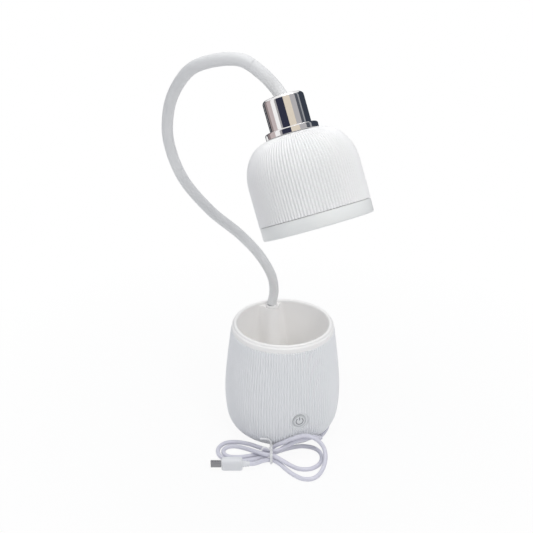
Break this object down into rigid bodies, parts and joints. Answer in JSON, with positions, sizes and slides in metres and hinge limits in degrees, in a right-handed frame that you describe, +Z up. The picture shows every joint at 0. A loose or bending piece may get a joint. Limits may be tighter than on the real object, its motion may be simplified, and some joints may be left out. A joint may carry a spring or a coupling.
{
  "type": "touch table lamp",
  "caption": "Ribbed rechargeable table lamp with a pen-cup base, touch pad, long bendable neck, chrome collar and ribbed dome shade; a short USB lead lies tied at its foot.",
  "frame": {"origin": "centre of the anti-slip pad on the underside of the base, on the surface that the lamp stands on", "axes": "+Z up; the touch pad faces -Y; the neck rises from the back of the cup at +Y"},
  "size_m": [0.1525, 0.2437, 0.3526],
  "materials": {
    "ribbed_housing": "satin white moulding with fine upright ribs",
    "cup_white": "smooth satin white",
    "neck_sleeve": "soft matte white sleeve",
    "bezel_white": "smooth off-white",
    "lens_frosted": "frosted milky diffuser",
    "collar_chrome": "mirror-bright plating",
    "touch_face": "smooth light grey",
    "foot_rubber": "matte dark grey foam rubber",
    "plain_steel": "plain zinc-plated steel",
    "socket_metal": "bright nickel-plated sheet",
    "cradle_black": "matte black",
    "cell_wrap": "blue heat-shrink wrap",
    "board_green": "green solder mask",
    "board_white": "white solder mask",
    "inner_lead": "red jacket",
    "cable_jacket": "soft white jacket with a cool tint",
    "plug_grip": "moulded light grey-white",
    "tie_white": "white coated twist wire"
  },
  "bodies": {
    "base": {"base_shell": "ribbed_housing", "pen_cup": "cup_white", "bottom_cover": "ribbed_housing", "anti_slip_pad": "foot_rubber", "counterweight": "plain_steel", "battery_cradle": "cradle_black", "battery_cell": "cell_wrap", "control_board": "board_green", "charging_socket": "socket_metal", "touch_pad": "touch_face", "touch_board": "board_green", "cover_screw_1": "plain_steel", "cover_screw_2": "plain_steel", "cover_screw_3": "plain_steel", "cover_screw_4": "plain_steel", "board_screw_1": "plain_steel", "board_screw_2": "plain_steel", "neck_stem": "plain_steel", "neck_nut": "plain_steel", "neck_ferrule": "cup_white", "neck_link_01": "neck_sleeve", "neck_lead": "inner_lead", "battery_lead": "inner_lead", "touch_lead": "inner_lead", "usb_hank": "cable_jacket", "usb_lead": "cable_jacket", "usb_tail": "cable_jacket", "micro_plug_grip": "plug_grip", "micro_plug_shell": "socket_metal", "usb_plug_grip": "plug_grip", "usb_plug_shell": "socket_metal", "cable_tie": "tie_white"},
    "neck_02": {"neck_link_02": "neck_sleeve"},
    "neck_03": {"neck_link_03": "neck_sleeve"},
    "neck_04": {"neck_link_04": "neck_sleeve"},
    "neck_05": {"neck_link_05": "neck_sleeve"},
    "neck_06": {"neck_link_06": "neck_sleeve"},
    "neck_07": {"neck_link_07": "neck_sleeve"},
    "neck_08": {"neck_link_08": "neck_sleeve"},
    "neck_09": {"neck_link_09": "neck_sleeve"},
    "neck_10": {"neck_link_10": "neck_sleeve"},
    "neck_11": {"neck_link_11": "neck_sleeve"},
    "neck_12": {"neck_link_12": "neck_sleeve"},
    "head": {"neck_link_13": "neck_sleeve", "shade_shell": "ribbed_housing", "collar": "collar_chrome", "head_stem": "plain_steel", "shade_nut": "plain_steel", "diffuser_bezel": "bezel_white", "diffuser_lens": "lens_frosted", "led_board": "board_white", "led_screw_1": "plain_steel", "led_screw_2": "plain_steel", "led_screw_3": "plain_steel", "head_lead": "inner_lead"}
  },
  "joints": [
    {"name": "neck_sway_1", "type": "hinge", "parent": "base", "child": "neck_02", "pos_m": [0.00001, 0.03487, 0.12301], "axis": [-0.0212, 0.9792, 0.2016], "range_deg": [-8, 8]},
    {"name": "neck_sway_2", "type": "hinge", "parent": "neck_02", "child": "neck_03", "pos_m": [-0.00976, 0.0253, 0.15108], "axis": [-0.1611, 0.9398, 0.3014], "range_deg": [-8, 8]},
    {"name": "neck_sway_3", "type": "hinge", "parent": "neck_03", "child": "neck_04", "pos_m": [-0.02661, 0.01574, 0.17576], "axis": [-0.1709, 0.9643, 0.2022], "range_deg": [-8, 8]},
    {"name": "neck_lean_1", "type": "hinge", "parent": "neck_04", "child": "neck_05", "pos_m": [-0.04668, 0.01111, 0.19941], "axis": [0.7583, -0.0292, 0.6512], "range_deg": [-8, 6]},
    {"name": "neck_lean_2", "type": "hinge", "parent": "neck_05", "child": "neck_06", "pos_m": [-0.0667, 0.01151, 0.22363], "axis": [0.7797, 0.0597, 0.6234], "range_deg": [-8, 6]},
    {"name": "neck_lean_3", "type": "hinge", "parent": "neck_06", "child": "neck_07", "pos_m": [-0.08436, 0.01203, 0.24953], "axis": [0.877, -0.0347, 0.4793], "range_deg": [-8, 6]},
    {"name": "neck_arch_1", "type": "hinge", "parent": "neck_07", "child": "neck_08", "pos_m": [-0.09506, 0.00547, 0.27796], "axis": [0.8021, 0.494, 0.3355], "range_deg": [-8, 8]},
    {"name": "neck_arch_2", "type": "hinge", "parent": "neck_08", "child": "neck_09", "pos_m": [-0.09486, -0.01146, 0.3043], "axis": [0.8027, 0.4894, 0.3409], "range_deg": [-8, 8]},
    {"name": "neck_arch_3", "type": "hinge", "parent": "neck_09", "child": "neck_10", "pos_m": [-0.09029, -0.03418, 0.32548], "axis": [0.8021, 0.494, 0.3355], "range_deg": [-8, 8]},
    {"name": "head_tilt_1", "type": "hinge", "parent": "neck_10", "child": "neck_11", "pos_m": [-0.08191, -0.05899, 0.34266], "axis": [0.6738, 0.5803, 0.4574], "range_deg": [-10, 10]},
    {"name": "head_tilt_2", "type": "hinge", "parent": "neck_11", "child": "neck_12", "pos_m": [-0.0628, -0.08294, 0.3483], "axis": [0.6111, 0.6452, 0.4584], "range_deg": [-10, 10]},
    {"name": "head_tilt_3", "type": "hinge", "parent": "neck_12", "child": "head", "pos_m": [-0.0379, -0.09628, 0.33799], "axis": [0.6738, 0.5803, 0.4574], "range_deg": [-10, 10]}
  ],
  "couplings": [
    {"joint": "neck_sway_2", "follows": "neck_sway_1", "ratio": 1},
    {"joint": "neck_sway_3", "follows": "neck_sway_1", "ratio": 1},
    {"joint": "neck_lean_2", "follows": "neck_lean_1", "ratio": 1},
    {"joint": "neck_lean_3", "follows": "neck_lean_1", "ratio": 1},
    {"joint": "neck_arch_2", "follows": "neck_arch_1", "ratio": 1},
    {"joint": "neck_arch_3", "follows": "neck_arch_1", "ratio": 1},
    {"joint": "head_tilt_2", "follows": "head_tilt_1", "ratio": 1},
    {"joint": "head_tilt_3", "follows": "head_tilt_1", "ratio": 1}
  ]
}
